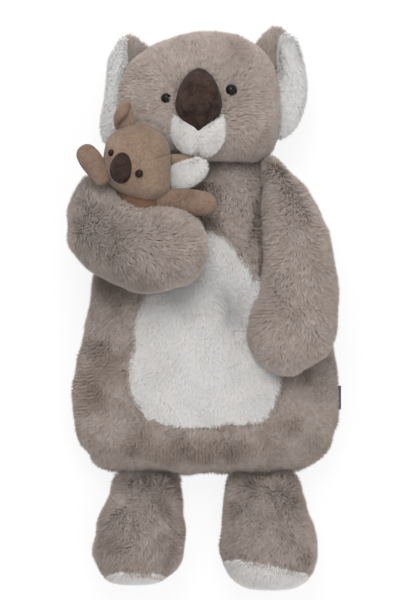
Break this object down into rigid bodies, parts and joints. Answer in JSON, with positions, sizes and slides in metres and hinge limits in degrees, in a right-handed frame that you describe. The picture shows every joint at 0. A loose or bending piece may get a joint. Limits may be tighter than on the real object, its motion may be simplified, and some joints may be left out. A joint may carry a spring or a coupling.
{
  "type": "plush hot water bottle",
  "caption": "Stuffed koala cover with a young koala in its arm, zipped over a moulded rubber bottle with a threaded stopper.",
  "frame": {"origin": "the middle of the toy's outline seen from above, on the surface it lies on", "axes": "the toy lies on its back: +Z out of its front, +Y towards its head, +X towards its left hand"},
  "size_m": [0.274, 0.5666, 0.1469],
  "materials": {
    "plush": "soft",
    "white_plush": "soft",
    "suede": "suede",
    "tan_plush": "soft",
    "black_plastic": "polished",
    "white_plastic": "moulded",
    "bottle_rubber": "satin",
    "stopper_rubber": "satin",
    "brass": "turned",
    "zip_plastic": "moulded",
    "zip_metal": "cast",
    "woven_tape": "woven"
  },
  "bodies": {
    "torso": {"torso_front": "plush", "back_panel_left": "plush", "back_panel_right": "plush", "belly_patch": "white_plush", "zip_tape_left": "zip_plastic", "zip_tape_right": "zip_plastic", "zip_stop": "zip_metal", "side_label": "woven_tape", "bottle_shell": "bottle_rubber", "neck_insert": "brass"},
    "head": {"head": "plush", "nose": "suede", "muzzle": "white_plush", "eye_left": "black_plastic", "eye_right": "black_plastic", "eye_washer_left": "white_plastic", "eye_washer_right": "white_plastic", "ear_left": "plush", "ear_right": "plush", "ear_lining_left": "white_plush", "ear_lining_right": "white_plush"},
    "left_arm": {"arm_left": "plush"},
    "right_arm": {"arm_right": "plush", "baby_head": "tan_plush", "baby_body": "tan_plush", "baby_arm_left": "tan_plush", "baby_arm_right": "tan_plush", "baby_ear_left": "tan_plush", "baby_ear_right": "tan_plush", "baby_ear_lining_left": "white_plush", "baby_ear_lining_right": "tan_plush", "baby_nose": "suede", "baby_eye_left": "black_plastic", "baby_eye_right": "black_plastic"},
    "left_leg": {"leg_left": "plush", "sole_left": "white_plush"},
    "right_leg": {"leg_right": "plush", "sole_right": "white_plush"},
    "slider": {"zip_slider": "zip_metal"},
    "pull": {"zip_pull": "zip_metal"},
    "washer": {"stopper_washer": "stopper_rubber"},
    "stopper": {"stopper": "stopper_rubber"}
  },
  "joints": [
    {"name": "head_nod", "type": "hinge", "parent": "torso", "child": "head", "pos_m": [-0.0065, 0.1505, 0.004], "axis": [1, 0, 0], "range_deg": [-45, 0]},
    {"name": "left_arm_lift", "type": "hinge", "parent": "torso", "child": "left_arm", "pos_m": [0.0695, 0.1505, 0.038], "axis": [-0.5, 0, 0.866], "range_deg": [0, 60]},
    {"name": "right_arm_open", "type": "hinge", "parent": "torso", "child": "right_arm", "pos_m": [-0.12, 0.0605, 0.029], "axis": [0, -1, 0], "range_deg": [0, 50]},
    {"name": "left_leg_fold", "type": "hinge", "parent": "torso", "child": "left_leg", "pos_m": [0.0585, -0.1658, 0.02], "axis": [1, 0, 0], "range_deg": [-40, 30]},
    {"name": "right_leg_fold", "type": "hinge", "parent": "torso", "child": "right_leg", "pos_m": [-0.0595, -0.1658, 0.02], "axis": [1, 0, 0], "range_deg": [-40, 30]},
    {"name": "zip_slide", "type": "slide", "parent": "torso", "child": "slider", "axis": [0, -1, 0], "range_m": [0, 0.2], "deforming": ["zip_tape_left", "zip_tape_right"]},
    {"name": "pull_swing", "type": "hinge", "parent": "slider", "child": "pull", "pos_m": [-0.0045, 0.1024, 0.00198], "axis": [1, 0, 0], "range_deg": [0, 120]},
    {"name": "stopper_lift", "type": "slide", "parent": "torso", "child": "washer", "axis": [0, 1, 0], "range_m": [0, 0.012]},
    {"name": "stopper_turn", "type": "hinge", "parent": "washer", "child": "stopper", "pos_m": [-0.0045, 0.1105, 0.0303], "axis": [0, 1, 0], "range_deg": [0, 1080]}
  ],
  "couplings": [
    {"joint": "stopper_lift", "follows": "stopper_turn", "m_per_rad": 0.00063662}
  ]
}
